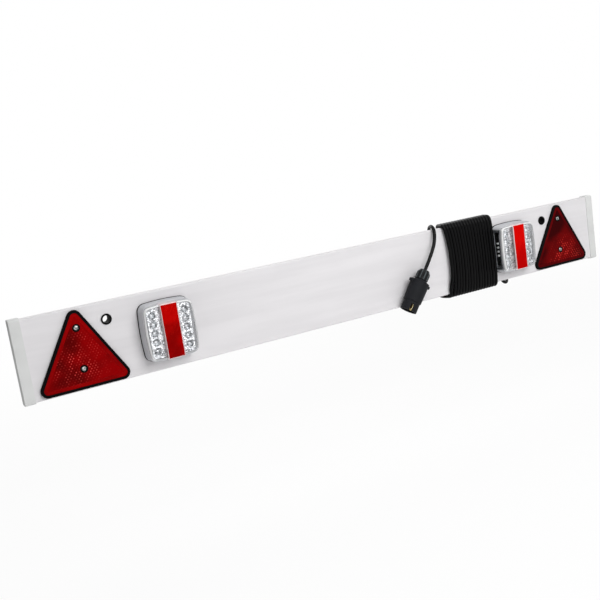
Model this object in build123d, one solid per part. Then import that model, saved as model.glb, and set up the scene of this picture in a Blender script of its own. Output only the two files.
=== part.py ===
from build123d import *
import math
import os

# A trailer lighting board: a hollow white plank with a lamp and a warning triangle at each end,
# and a lead that is wound round it and ends in a seven-pin plug.
# Millimetres. X runs along the board, Y from its front to its back, Z up.
# The origin is midway between the two tie holes, on the board's back face.

# Board: an extruded PVC plank with webs inside
BOARD_LENGTH = 1368.0
BOARD_HEIGHT = 148.0
BOARD_DEPTH = 18.0
BOARD_WALL = 1.8
BOARD_CORNER = 3.0
WEB_THICKNESS = 1.4
WEB_PITCH = 36.0
WEB_COUNT = 4

# End caps: moulded cups pushed over the plank's ends
CAP_WALL = 2.0
CAP_END = 2.0
CAP_GRIP = 17.0
CAP_FIT = 0.1
CAP_EDGE = 0.9

# Tie holes and their rubber eyelets
TIE_END_GAP = 163.0
TIE_RISE = 42.0
TIE_BORE = 13.5
TIE_RUBBER = 1.5
TIE_LIP_REACH = 1.6
TIE_LIP_THICKNESS = 1.6
TIE_LIP_ROUND = 0.6

# Warning triangles
REFLECTOR_LEFT_END_GAP = 107.3
REFLECTOR_RIGHT_END_GAP = 116.0
REFLECTOR_WIDTH = 159.6
REFLECTOR_CORNER = 13.0
REFLECTOR_FOOT_GAP = 3.0
TRAY_HEIGHT = 5.8
TRAY_FLOOR = 2.0
TRAY_RIM = 5.0
TRAY_CHAMFER = 1.0
LENS_FIT = 0.15
LENS_SUNK = 0.7
BOSS_DIAMETER = 14.0
BOSS_BORE = 10.4
BOSS_FLOOR = 2.4
LOWER_SCREW_RISE = 36.2
SCREW_SPACING = 73.9

# Screws, nuts and washers: one size for the triangles, one for the lamps
SCREW_DIAMETER = 4.0
SCREW_HEAD = 8.4
SCREW_HEAD_HEIGHT = 2.6
SCREW_SLOT = 1.0
STUD_DIAMETER = 5.0
STUD_HEAD_FLATS = 8.0
STUD_HEAD_HEIGHT = 3.5
NUT_FLATS_SHARE = 1.7
NUT_HEIGHT_SHARE = 0.8
WASHER_SHARE = 2.1
WASHER_THICKNESS = 1.0
THREAD_SHOWN = 2.0
HOLE_CLEARANCE = 0.25
THREAD_CLEARANCE = 0.05

# Lamps: heights are measured from the board's front face
LAMP_END_GAP = 268.0
LAMP_RISE = 1.0
LAMP_WIDTH = 100.0
LAMP_HEIGHT = 110.0
LAMP_BOW = 3.0
LAMP_CORNER = 14.0
GASKET_THICKNESS = 1.5
GASKET_LIP = 0.6
GASKET_LIP_HEIGHT = 3.4
GASKET_LIP_FIT = 0.05
GASKET_BAND = 10.2
BASE_DEPTH = 25.5
BASE_DRAFT = 4.0
BASE_WALL = 2.4
BASE_FLOOR = 2.5
RIM_THICKNESS = 2.0
RIM_REACH = 2.2
STUD_OFFSET = 25.0
STUD_BOSS = 13.0
STUD_BOSS_HEIGHT = 9.0
STUD_HEAD_CLEARANCE = 0.2
POST_DIAMETER = 6.0
POST_X = 33.0
POST_Y = 38.0
POST_HEIGHT = 13.0

# Clear lens with a raised middle rib, and the red strip set in it
LENS_STEP = 2.6
LENS_SIDE_STEP = 0.4
LENS_DEPTH = 8.0
LENS_WALL = 2.0
LENS_EDGE = 3.2
SPIGOT_DEPTH = 1.6
SPIGOT_FIT = 0.15
STRIP_WIDTH = 30.0
STRIP_HEIGHT = 98.0
STRIP_THICKNESS = 3.2
STRIP_FIT = 0.1
STRIP_BORDER = 0.6
RIB_BEVEL = 2.2
RIB_RISE = 3.0

# Circuit board, LEDs and chromed cups
CIRCUIT_WIDTH = 76.0
CIRCUIT_HEIGHT = 90.0
CIRCUIT_CORNER = 6.0
CIRCUIT_THICKNESS = 1.6
LED_COLUMN_X = 31.0
LED_PITCH = 16.4
LED_ROWS = 5
LED_DIAMETER = 5.0
LED_FLANGE = 0.4
LED_FLANGE_HEIGHT = 1.0
LED_HEIGHT = 7.5
CUP_MOUTH = 14.4
CUP_DEPTH = 10.0
CUP_WALL = 0.8
CUP_CLEARANCE = 0.4
CUP_PLATE_FIT = 0.3

# Number-plate light in the lamp's flank
WINDOW_HEIGHT = 80.0
WINDOW_DEPTH = 18.6
WINDOW_SILL = 1.1
WINDOW_FIT = 0.1
WINDOW_FLANGE = 1.0
WINDOW_FLANGE_THICKNESS = 1.5
PLATE_CIRCUIT_HEIGHT = 74.0
PLATE_CIRCUIT_DEPTH = 15.0
PLATE_CIRCUIT_THICKNESS = 1.2
PLATE_CIRCUIT_INSET = 10.5
PLATE_LED_DIAMETER = 4.0
PLATE_LED_LENGTH = 4.0
PLATE_LED_PITCH = 9.2
PLATE_LED_COUNT = 4
PLATE_LED_RISE = 9.0

# Wiring inside the board
LINK_DIAMETER = 5.6
LINK_RISE = 8.0
LINK_BEND = 6.0
LINK_CLEARANCE = 0.5
FEED_DROP = 6.0

# Lead: gland, free tube and winding
LEAD_DIAMETER = 7.5
GLAND_FLANGE = 18.0
GLAND_FLANGE_THICKNESS = 2.5
GLAND_NECK = 12.0
GLAND_SLEEVE = 13.0
GLAND_TIP = 10.0
GLAND_REACH = 22.0
GLAND_BORE_FIT = 0.1
WINDING_TURNS = 17
WINDING_PITCH = 8.0
WINDING_LAMP_GAP = 0.8
WINDING_GAP = 0.1
WINDING_TOP_SLACK = 1.0
WINDING_FRONT_SWELL = 5.0
WINDING_BACK_SWELL = 3.0
WINDING_SIDE_BOW = 8.0

# Seven-pin plug: heights are measured along its axis from the gland nut's end
PLUG_LENGTH = 93.6
PLUG_WINDING_GAP = 69.1
PLUG_END_RISE = -4.1
PLUG_LEAN = 36.3
PLUG_REST_GAP = 0.3
PLUG_NOSE = 36.0
PLUG_NOSE_LENGTH = 22.0
PLUG_SHOULDER = 39.8
PLUG_WAIST = 41.6
PLUG_THROAT = 26.4
PLUG_BACK = 21.0
PLUG_THROAT_LENGTH = 3.0
PLUG_CONE_LENGTH = 3.4
PLUG_NECK = 22.0
PLUG_NECK_LENGTH = 11.0
PLUG_WALL = 2.6
PLUG_MOUTH_DEPTH = 32.0
KEY_SLOT_WIDTH = 5.6
KEY_SLOT_LENGTH = 15.0
KEY_SLOT_TURN = 23.0
WING_SPAN = 52.0
WING_WIDTH = 12.0
WING_THICKNESS = 5.6
WING_RISE = 30.4
WING_ROUND = 2.5
NUT_DIAMETER = 28.8
NUT_TOP = 20.0
NUT_SLOPE = 7.0
NUT_ROOF = 3.0
NUT_GROOVES = 12
NUT_GROOVE = 2.4
NUT_FIT = 0.15
CARRIER_THICKNESS = 12.0
CARRIER_FIT = 0.1
CARRIER_LEDGE = 1.5
PIN_DIAMETER = 4.6
PIN_CIRCLE = 20.0
PIN_RING_COUNT = 6
PIN_SUNK = 4.0
PIN_TAIL = 4.0
PIN_FIT = 0.05

# Places that follow from the sizes above
OVERCUT = 1.0
MIDDLE_Z = -TIE_RISE
FRONT_Y = -BOARD_DEPTH
BOARD_TOP = BOARD_HEIGHT / 2
BOARD_END = BOARD_LENGTH / 2
TIE_X = BOARD_END - TIE_END_GAP
REFLECTOR_LEFT_X = REFLECTOR_LEFT_END_GAP - BOARD_END
REFLECTOR_RIGHT_X = BOARD_END - REFLECTOR_RIGHT_END_GAP
LAMP_X = BOARD_END - LAMP_END_GAP
ROOT_3 = math.sqrt(3)
REFLECTOR_INRADIUS = (REFLECTOR_WIDTH + 2 * (ROOT_3 - 1) * REFLECTOR_CORNER) / (2 * ROOT_3)
REFLECTOR_RISE = -BOARD_TOP + REFLECTOR_FOOT_GAP + REFLECTOR_INRADIUS
SCREW_RISES = [LOWER_SCREW_RISE - REFLECTOR_INRADIUS + i * SCREW_SPACING for i in range(2)]
BASE_BACK = GASKET_THICKNESS
BASE_FRONT = BASE_BACK + BASE_DEPTH
FLOOR_TOP = BASE_BACK + BASE_FLOOR
DRAFT_SLOPE = math.tan(math.radians(BASE_DRAFT))
RIM_INSET = BASE_DEPTH * DRAFT_SLOPE
RIM_OPENING = RIM_INSET + BASE_WALL + RIM_REACH
SPIGOT_INSET = RIM_OPENING + SPIGOT_FIT
LENS_FRONT = BASE_FRONT + LENS_DEPTH
RIB_FRONT = LENS_FRONT + RIB_RISE
CIRCUIT_BACK = FLOOR_TOP + POST_HEIGHT
CIRCUIT_FRONT = CIRCUIT_BACK + CIRCUIT_THICKNESS
FEED_Z = MIDDLE_Z + LAMP_RISE - FEED_DROP
LINK_Z = MIDDLE_Z + LAMP_RISE + LINK_RISE
WINDING_RIGHT_X = LAMP_X - LAMP_WIDTH / 2 - WINDING_LAMP_GAP
WINDING_LEFT_X = WINDING_RIGHT_X - (WINDING_TURNS - 1) * WINDING_PITCH - LEAD_DIAMETER
PLUG_Y = FRONT_Y - PLUG_WAIST / 2 - PLUG_REST_GAP
PLUG_AXIS = Vector(-math.sin(math.radians(PLUG_LEAN)), 0, -math.cos(math.radians(PLUG_LEAN)))
PLUG_ORIGIN = Vector(WINDING_LEFT_X - PLUG_WINDING_GAP, PLUG_Y, MIDDLE_Z + PLUG_END_RISE)

# The lead's two free stretches, as points chosen by hand. The first runs from the gland to the winding,
# with X measured from the right lamp's middle, and the second from the winding's left side to the plug.
LEAD_START_POINTS = [
    (0.0, 24.5, -47.0),
    (0.0, 35.5, -47.0),
    (0.5, 46.8, -54.5),
    (2.5, 51.5, -67.5),
    (6.0, 48.5, -82.0),
    (10.5, 39.5, -96.0),
    (13.8, 27.5, -109.5),
    (12.5, 15.0, -119.5),
    (4.0, 7.6, -125.0),
    (-7.0, 4.9, -121.5),
    (-15.0, 4.6, -111.5),
    (-24.0, 4.6, -101.0),
    (-37.0, 4.6, -95.0),
    (-50.8, 4.6, -95.0),
]
LEAD_TAIL_POINTS = [
    (0.0, -8.0, -119.85),
    (-7.0, -8.0, -119.85),
    (-12.5, -2.5, -120.6),
    (-14.7, 4.8, -118.4),
    (-14.9, 7.6, -110.8),
    (-14.5, 6.6, -98.0),
    (-13.9, 5.2, -76.0),
    (-13.1, 4.8, -40.0),
    (-12.5, 5.2, -7.0),
    (-12.5, 6.6, 14.5),
    (-13.2, 6.6, 27.5),
    (-15.1, 0.6, 37.0),
    (-18.1, -10.2, 40.2),
    (-20.9, -20.8, 36.8),
    (-23.1, -26.8, 27.5),
    (-25.2, -29.8, 14.5),
    (-30.2, -33.5, 0.0),
]
LEAD_TAIL_RUN_IN = 24.0
BEND_SHARE = 0.45


def along_y(radius, start, end, x=0.0, z=0.0):
    """A round bar along Y, from y = start to y = end."""
    plane = Plane(origin=(x, start, z), x_dir=(1, 0, 0), z_dir=(0, 1, 0))
    return extrude(plane * Circle(radius), end - start)


def on_front(x, rise):
    """The plane on the board's front face whose Z points at the viewer, a rise above the middle line."""
    return Plane(origin=(x, FRONT_Y, MIDDLE_Z + rise), x_dir=(1, 0, 0), z_dir=(0, -1, 0))


def turned(*points):
    """A half section, given as radius and height, turned about the Z axis."""
    return revolve(Plane.XZ * make_face(Polyline(*points, close=True)), Axis.Z)


def rod(radius, bottom, top):
    """A round bar along Z."""
    return Pos(0, 0, bottom) * extrude(Circle(radius), top - bottom)


def slab(sketch, bottom, top):
    """A flat outline raised from one height to another."""
    return Pos(0, 0, bottom) * extrude(sketch, top - bottom)


def spread(piece, places):
    """Copies of a piece at several places, as separate solids."""
    return Part() + [Pos(*place) * piece for place in places]


def bowed(width, height, corner):
    """A rectangle whose four sides bow outwards, with rounded corners."""
    x = width / 2
    y = height / 2
    a = x - LAMP_BOW
    b = y - LAMP_BOW
    right = ThreePointArc((a, -b), (x, 0), (a, b))
    top = ThreePointArc((a, b), (0, y), (-a, b))
    left = ThreePointArc((-a, b), (-x, 0), (-a, -b))
    bottom = ThreePointArc((-a, -b), (0, -y), (a, -b))
    outline = make_face([right, top, left, bottom])
    return fillet(outline.vertices(), corner)


def lamp_outline(inset):
    """The lamp's outline at the board, moved in all round."""
    return bowed(LAMP_WIDTH - 2 * inset, LAMP_HEIGHT - 2 * inset, LAMP_CORNER - inset)


def lens_outline(inset):
    """The lens's outline on the housing's rim, moved in all round: it steps in more at top and bottom."""
    width = LAMP_WIDTH - 2 * (RIM_INSET + LENS_SIDE_STEP + inset)
    height = LAMP_HEIGHT - 2 * (RIM_INSET + LENS_STEP + inset)
    return bowed(width, height, LAMP_CORNER - RIM_INSET - LENS_STEP - inset)


def drafted(inset, bottom, top):
    """The lamp's outline raised with the housing's draft, a wall inside its outer skin."""
    low = inset + (bottom - BASE_BACK) * DRAFT_SLOPE
    high = inset + (top - BASE_BACK) * DRAFT_SLOPE
    return loft([Pos(0, 0, bottom) * lamp_outline(low), Pos(0, 0, top) * lamp_outline(high)], ruled=True)


# Fasteners

def nut(diameter):
    """A hexagon nut that stands on z = 0."""
    flats = diameter * NUT_FLATS_SHARE
    blank = extrude(RegularPolygon(flats / 2, 6, major_radius=False), diameter * NUT_HEIGHT_SHARE)
    return blank - rod(diameter / 2 + THREAD_CLEARANCE, -OVERCUT, diameter + OVERCUT)


def washer(diameter):
    """A flat washer that lies on z = 0."""
    ring = Circle(diameter * WASHER_SHARE / 2) - Circle(diameter / 2 + HOLE_CLEARANCE)
    return extrude(ring, WASHER_THICKNESS)


def shank_end(diameter):
    """How far a screw reaches behind the board's front face."""
    return -(BOARD_DEPTH + WASHER_THICKNESS + diameter * NUT_HEIGHT_SHARE + THREAD_SHOWN)


def behind_board(piece, stack):
    """A washer or nut turned to stand on the board's back face, on top of a stack of given height."""
    return Pos(0, 0, -BOARD_DEPTH - stack) * Rot(180, 0, 0) * piece


# Board and end caps

def make_board():
    """The plank: walls, webs and every drilled hole."""
    webs = [(i - (WEB_COUNT - 1) / 2) * WEB_PITCH for i in range(WEB_COUNT)]
    lows = [-BOARD_TOP + BOARD_WALL] + [z + WEB_THICKNESS / 2 for z in webs]
    highs = [z - WEB_THICKNESS / 2 for z in webs] + [BOARD_TOP - BOARD_WALL]
    section = RectangleRounded(BOARD_DEPTH, BOARD_HEIGHT, BOARD_CORNER)
    for low, high in zip(lows, highs):
        section -= Pos(0, (low + high) / 2) * Rectangle(BOARD_DEPTH - 2 * BOARD_WALL, high - low)
    plank = extrude(Plane.YZ * section, BOARD_END, both=True)
    plank = Pos(0, FRONT_Y / 2, MIDDLE_Z) * plank
    front = FRONT_Y - OVERCUT
    holes = []
    for side in (-1, 1):
        holes.append(along_y(TIE_BORE / 2 + TIE_RUBBER, front, OVERCUT, side * TIE_X, 0))
        lamp_z = MIDDLE_Z + LAMP_RISE
        for offset in (-STUD_OFFSET, STUD_OFFSET):
            stud_x = side * LAMP_X + offset
            holes.append(along_y(STUD_DIAMETER / 2 + HOLE_CLEARANCE, front, OVERCUT, stud_x, lamp_z))
        link_radius = LINK_DIAMETER / 2 + LINK_CLEARANCE
        holes.append(along_y(link_radius, front, FRONT_Y / 2, side * LAMP_X, LINK_Z))
    for x in (REFLECTOR_LEFT_X, REFLECTOR_RIGHT_X):
        for rise in SCREW_RISES:
            screw_z = MIDDLE_Z + REFLECTOR_RISE + rise
            holes.append(along_y(SCREW_DIAMETER / 2 + HOLE_CLEARANCE, front, OVERCUT, x, screw_z))
    holes.append(along_y(LEAD_DIAMETER / 2 + LINK_CLEARANCE, front, FRONT_Y / 2, LAMP_X, FEED_Z))
    holes.append(along_y(GLAND_NECK / 2, FRONT_Y / 2, OVERCUT, LAMP_X, FEED_Z))
    return plank - holes


def make_end_cap(side):
    """A cup whose sleeve grips the plank's end."""
    depth = BOARD_DEPTH + 2 * CAP_FIT
    height = BOARD_HEIGHT + 2 * CAP_FIT
    corner = BOARD_CORNER + CAP_FIT
    inner = RectangleRounded(depth, height, corner)
    outer = RectangleRounded(depth + 2 * CAP_WALL, height + 2 * CAP_WALL, corner + CAP_WALL)
    block = slab(outer, 0, CAP_GRIP + CAP_END)
    block = fillet(block.faces().sort_by(Axis.Z)[-1].edges(), CAP_EDGE)
    cup = block - slab(inner, -OVERCUT, CAP_GRIP)
    mouth = (side * (BOARD_END - CAP_GRIP), FRONT_Y / 2, MIDDLE_Z)
    return Plane(origin=mouth, x_dir=(0, 1, 0), z_dir=(side, 0, 0)) * cup


def make_tie_grommet(side):
    """A rubber eyelet with a lip on each face of the board."""
    bore = TIE_BORE / 2
    neck = bore + TIE_RUBBER
    lip = neck + TIE_LIP_REACH
    low = -TIE_LIP_THICKNESS
    high = BOARD_DEPTH + TIE_LIP_THICKNESS
    section = make_face(Polyline((bore, low), (lip, low), (lip, 0), (neck, 0), (neck, BOARD_DEPTH),
                                 (lip, BOARD_DEPTH), (lip, high), (bore, high), close=True))
    section = fillet(section.vertices().group_by(Axis.X)[-1], TIE_LIP_ROUND)
    eyelet = revolve(Plane.XZ * section, Axis.Z)
    return Plane(origin=(side * TIE_X, FRONT_Y, 0), x_dir=(1, 0, 0), z_dir=(0, 1, 0)) * eyelet


# Warning triangles

def triangle(inset):
    """The reflector's rounded outline, moved in all round, with its middle at the origin."""
    outline = RegularPolygon(REFLECTOR_INRADIUS - inset, 3, major_radius=False, rotation=90)
    return fillet(outline.vertices(), REFLECTOR_CORNER - inset)


def make_reflector(x):
    """The pieces of one warning triangle, by name."""
    top = TRAY_HEIGHT - LENS_SUNK
    screws = [(0, rise) for rise in SCREW_RISES]
    tray = slab(triangle(0), 0, TRAY_HEIGHT)
    tray = chamfer(tray.faces().sort_by(Axis.Z)[-1].edges(), TRAY_CHAMFER)
    tray -= slab(triangle(TRAY_RIM), TRAY_FLOOR, TRAY_HEIGHT + OVERCUT)
    lens = slab(triangle(TRAY_RIM + LENS_FIT), TRAY_FLOOR, top)
    for place in screws:
        tray += Pos(*place) * rod(BOSS_DIAMETER / 2, TRAY_FLOOR, top)
        tray -= Pos(*place) * rod(BOSS_BORE / 2, BOSS_FLOOR, TRAY_HEIGHT)
        tray -= Pos(*place) * rod(SCREW_DIAMETER / 2 + HOLE_CLEARANCE, -OVERCUT, TRAY_HEIGHT)
        lens -= Pos(*place) * rod(BOSS_DIAMETER / 2 + LENS_FIT, 0, TRAY_HEIGHT)
    pieces = {
        "reflector_tray": tray,
        "reflector_lens": lens,
        "reflector_screws": spread(make_screw(), screws),
        "reflector_washers": spread(behind_board(washer(SCREW_DIAMETER), 0), screws),
        "reflector_nuts": spread(behind_board(nut(SCREW_DIAMETER), WASHER_THICKNESS), screws),
    }
    return {name: on_front(x, REFLECTOR_RISE) * piece for name, piece in pieces.items()}


def make_screw():
    """A pan-head screw that sits on a boss's floor and reaches through the board."""
    head = rod(SCREW_HEAD / 2, BOSS_FLOOR, BOSS_FLOOR + SCREW_HEAD_HEIGHT)
    head = fillet(head.faces().sort_by(Axis.Z)[-1].edges(), SCREW_HEAD_HEIGHT / 2)
    slot = Pos(0, 0, BOSS_FLOOR + SCREW_HEAD_HEIGHT) * Box(SCREW_SLOT, SCREW_HEAD, SCREW_HEAD_HEIGHT)
    return head - slot + rod(SCREW_DIAMETER / 2, shank_end(SCREW_DIAMETER), BOSS_FLOOR)


# Lamps

def led(diameter, length):
    """A domed LED that stands on z = 0."""
    radius = diameter / 2
    flange = radius + LED_FLANGE
    shoulder = length - radius
    half_way = radius * math.sqrt(0.5)
    side = Polyline((0, 0), (flange, 0), (flange, LED_FLANGE_HEIGHT), (radius, LED_FLANGE_HEIGHT),
                    (radius, shoulder))
    dome = ThreePointArc((radius, shoulder), (half_way, shoulder + half_way), (0, length))
    middle = Line((0, length), (0, 0))
    return revolve(Plane.XZ * make_face(side.edges() + dome.edges() + [middle]), Axis.Z)


def led_places(height):
    """Where the lamp's LEDs stand: two columns."""
    rows = [(i - (LED_ROWS - 1) / 2) * LED_PITCH for i in range(LED_ROWS)]
    return [(x, y, height) for x in (-LED_COLUMN_X, LED_COLUMN_X) for y in rows]


def make_cups():
    """The chromed plate: ten open cones that stand on the circuit board."""
    front = CIRCUIT_FRONT + CUP_DEPTH
    mouth = CUP_MOUTH / 2
    foot = LED_DIAMETER / 2 + LED_FLANGE + CUP_CLEARANCE
    cone = turned((foot, 0), (foot + CUP_WALL, 0), (mouth + CUP_WALL, CUP_DEPTH), (mouth, CUP_DEPTH))
    plate = slab(lamp_outline(SPIGOT_INSET + LENS_WALL + CUP_PLATE_FIT), front - CUP_WALL, front)
    plate -= [Pos(*place) * rod(mouth, -CUP_DEPTH, CUP_DEPTH) for place in led_places(front)]
    return plate + [Pos(*place) * cone for place in led_places(CIRCUIT_FRONT)]


def make_base(side, flange_hole):
    """The grey housing: bowed walls, a rim for the lens, stud bosses, posts and the window's opening."""
    shell = drafted(0, BASE_BACK, BASE_FRONT)
    shell -= drafted(BASE_WALL, FLOOR_TOP, BASE_FRONT - RIM_THICKNESS)
    shell -= slab(lamp_outline(RIM_OPENING), BASE_FRONT - 2 * RIM_THICKNESS, BASE_FRONT + OVERCUT)
    boss_top = FLOOR_TOP + STUD_BOSS_HEIGHT
    for x in (-STUD_OFFSET, STUD_OFFSET):
        shell += Pos(x, 0, 0) * rod(STUD_BOSS / 2, FLOOR_TOP, boss_top)
        pocket = RegularPolygon(STUD_HEAD_FLATS / 2 + STUD_HEAD_CLEARANCE, 6, major_radius=False)
        shell -= Pos(x, 0, 0) * slab(pocket, boss_top - STUD_HEAD_HEIGHT, boss_top + OVERCUT)
        shell -= Pos(x, 0, 0) * rod(STUD_DIAMETER / 2 + HOLE_CLEARANCE, 0, boss_top)
    for x in (-POST_X, POST_X):
        for y in (-POST_Y, POST_Y):
            shell += Pos(x, y, 0) * rod(POST_DIAMETER / 2, FLOOR_TOP, CIRCUIT_BACK)
    shell -= Pos(0, LINK_RISE, 0) * rod(LINK_DIAMETER / 2 + LINK_CLEARANCE, 0, FLOOR_TOP + OVERCUT)
    if side > 0:
        shell -= Pos(0, -FEED_DROP, 0) * rod(LEAD_DIAMETER / 2 + LINK_CLEARANCE, 0, FLOOR_TOP + OVERCUT)
    return shell - flange_hole


def flank_box(side, height, sill, depth):
    """A block that cuts through the lamp's flank facing the board's middle."""
    block = Box(LAMP_WIDTH / 2, height, depth)
    return Pos(-side * LAMP_WIDTH / 2, 0, FLOOR_TOP + sill + depth / 2) * block


def make_window(side):
    """The clear window: flush with the flank outside, with a flange on the wall's inner face."""
    fit = WINDOW_FIT
    reach = WINDOW_FLANGE
    inside = drafted(BASE_WALL, FLOOR_TOP, BASE_FRONT)
    skin = drafted(0, BASE_BACK, BASE_FRONT) - inside
    pane = skin & flank_box(side, WINDOW_HEIGHT - 2 * fit, WINDOW_SILL + fit, WINDOW_DEPTH - 2 * fit)
    lining = inside - drafted(BASE_WALL + WINDOW_FLANGE_THICKNESS, 0, BASE_FRONT)
    border = flank_box(side, WINDOW_HEIGHT + 2 * reach, WINDOW_SILL - reach, WINDOW_DEPTH + 2 * reach)
    return pane + (lining & border)


def make_lens():
    """The clear cover: a box on the rim, with a spigot inside it and a bevelled rib that holds the strip."""
    throat = lamp_outline(SPIGOT_INSET + LENS_WALL)
    body = slab(lens_outline(0), BASE_FRONT, LENS_FRONT)
    body = fillet(body.faces().sort_by(Axis.Z)[-1].edges(), LENS_EDGE)
    foot_width = STRIP_WIDTH + 2 * (STRIP_BORDER + RIB_BEVEL)
    foot_height = STRIP_HEIGHT + 2 * (STRIP_BORDER + RIB_BEVEL)
    foot = Pos(0, 0, LENS_FRONT - LENS_WALL) * Rectangle(foot_width, foot_height)
    knee = Pos(0, 0, RIB_FRONT - RIB_BEVEL) * Rectangle(foot_width, foot_height)
    crest = Pos(0, 0, RIB_FRONT) * Rectangle(foot_width - 2 * RIB_BEVEL, foot_height - 2 * RIB_BEVEL)
    rib = loft([foot, knee], ruled=True) + loft([knee, crest], ruled=True)
    rib &= slab(lens_outline(0), BASE_FRONT, RIB_FRONT)
    body += rib
    body -= slab(lens_outline(LENS_WALL), BASE_FRONT - OVERCUT, LENS_FRONT - LENS_WALL)
    body += slab(lamp_outline(SPIGOT_INSET) - throat, BASE_FRONT - SPIGOT_DEPTH, BASE_FRONT)
    body += slab(lens_outline(LENS_WALL) - throat, BASE_FRONT, BASE_FRONT + LENS_WALL)
    slot = Rectangle(STRIP_WIDTH + 2 * STRIP_FIT, STRIP_HEIGHT + 2 * STRIP_FIT)
    return body - slab(slot, RIB_FRONT - STRIP_THICKNESS, RIB_FRONT + OVERCUT)


def make_lamp(side):
    """The pieces of one lamp, by name. The right lamp has side 1, and its window faces left."""
    studs = [(-STUD_OFFSET, 0), (STUD_OFFSET, 0)]
    opening = flank_box(side, WINDOW_HEIGHT, WINDOW_SILL, WINDOW_DEPTH)
    edge = lamp_outline(-GASKET_LIP)
    gasket = slab(edge - lamp_outline(GASKET_BAND), 0, GASKET_THICKNESS)
    gasket += slab(edge - lamp_outline(-GASKET_LIP_FIT), 0, GASKET_LIP_HEIGHT)
    circuit = RectangleRounded(CIRCUIT_WIDTH, CIRCUIT_HEIGHT, CIRCUIT_CORNER)
    head_seat = FLOOR_TOP + STUD_BOSS_HEIGHT - STUD_HEAD_HEIGHT
    hexagon = RegularPolygon(STUD_HEAD_FLATS / 2, 6, major_radius=False)
    head = slab(hexagon, head_seat, head_seat + STUD_HEAD_HEIGHT)
    stud = head + rod(STUD_DIAMETER / 2, shank_end(STUD_DIAMETER), head_seat)
    flank = LAMP_WIDTH / 2 - PLATE_CIRCUIT_INSET
    plate_circuit = Box(PLATE_CIRCUIT_THICKNESS, PLATE_CIRCUIT_HEIGHT, PLATE_CIRCUIT_DEPTH)
    plate_circuit = Pos(-side * flank, 0, FLOOR_TOP + PLATE_CIRCUIT_DEPTH / 2) * plate_circuit
    outward = Rot(0, -side * 90, 0) * led(PLATE_LED_DIAMETER, PLATE_LED_LENGTH)
    plate_face = -side * (flank + PLATE_CIRCUIT_THICKNESS / 2)
    rows = [(i - (PLATE_LED_COUNT - 1) / 2) * PLATE_LED_PITCH for i in range(PLATE_LED_COUNT)]
    pieces = {
        "lamp_gasket": gasket,
        "lamp_base": make_base(side, opening),
        "lamp_circuit": slab(circuit, CIRCUIT_BACK, CIRCUIT_FRONT),
        "lamp_leds": spread(led(LED_DIAMETER, LED_HEIGHT), led_places(CIRCUIT_FRONT)),
        "lamp_cups": make_cups(),
        "lamp_lens": make_lens(),
        "lamp_strip": slab(Rectangle(STRIP_WIDTH, STRIP_HEIGHT), RIB_FRONT - STRIP_THICKNESS, RIB_FRONT),
        "lamp_window": make_window(side),
        "lamp_plate_circuit": plate_circuit,
        "lamp_plate_leds": spread(outward, [(plate_face, y, FLOOR_TOP + PLATE_LED_RISE) for y in rows]),
        "lamp_studs": spread(stud, studs),
        "lamp_washers": spread(behind_board(washer(STUD_DIAMETER), 0), studs),
        "lamp_nuts": spread(behind_board(nut(STUD_DIAMETER), WASHER_THICKNESS), studs),
    }
    return {name: on_front(side * LAMP_X, LAMP_RISE) * piece for name, piece in pieces.items()}


# Wiring and lead

def tube(name, points, radii, diameter):
    """A round cable along straight runs and tangent arcs."""
    path = FilletPolyline(*points, radius=radii)
    start = Plane(origin=path @ 0, z_dir=path % 0)
    cable = sweep(start * Circle(diameter / 2), path=path)
    expected = math.pi * diameter ** 2 / 4 * path.length
    print(name, "length", round(path.length, 1), "volume ratio", round(cable.volume / expected, 4))
    return cable


def widest_radii(points):
    """The arc radius at each inner point: as large as its two runs allow."""
    vectors = [Vector(*point) for point in points]
    radii = []
    for before, here, after in zip(vectors, vectors[1:], vectors[2:]):
        shorter = min((here - before).length, (after - here).length)
        turn = (here - before).get_angle(after - here)
        radii.append(BEND_SHARE * shorter / math.tan(math.radians(turn / 2)))
    return radii


def make_link_cable():
    """The cable from lamp to lamp: in through the front wall, and along the middle chamber."""
    end_y = FRONT_Y - CIRCUIT_BACK
    lane_y = FRONT_Y / 2
    points = [(-LAMP_X, end_y, LINK_Z), (-LAMP_X, lane_y, LINK_Z),
              (LAMP_X, lane_y, LINK_Z), (LAMP_X, end_y, LINK_Z)]
    return tube("link_cable", points, [LINK_BEND, LINK_BEND], LINK_DIAMETER)


def make_gland():
    """The rubber gland: a neck in the back wall, a flange on it and a tapered sleeve round the lead."""
    bore = LEAD_DIAMETER / 2 + GLAND_BORE_FIT
    flange = GLAND_FLANGE / 2
    tip = GLAND_FLANGE_THICKNESS + GLAND_REACH
    gland = turned((bore, -BOARD_WALL), (GLAND_NECK / 2, -BOARD_WALL), (GLAND_NECK / 2, 0), (flange, 0),
                   (flange, GLAND_FLANGE_THICKNESS), (GLAND_SLEEVE / 2, GLAND_FLANGE_THICKNESS),
                   (GLAND_TIP / 2, tip), (bore, tip))
    return Plane(origin=(LAMP_X, 0, FEED_Z), x_dir=(1, 0, 0), z_dir=(0, 1, 0)) * gland


def make_lead_feed():
    """The lead's end: straight from the right lamp's circuit board to the gland's tip."""
    tip = GLAND_FLANGE_THICKNESS + GLAND_REACH
    return along_y(LEAD_DIAMETER / 2, FRONT_Y - CIRCUIT_BACK, tip, LAMP_X, FEED_Z)


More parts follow.
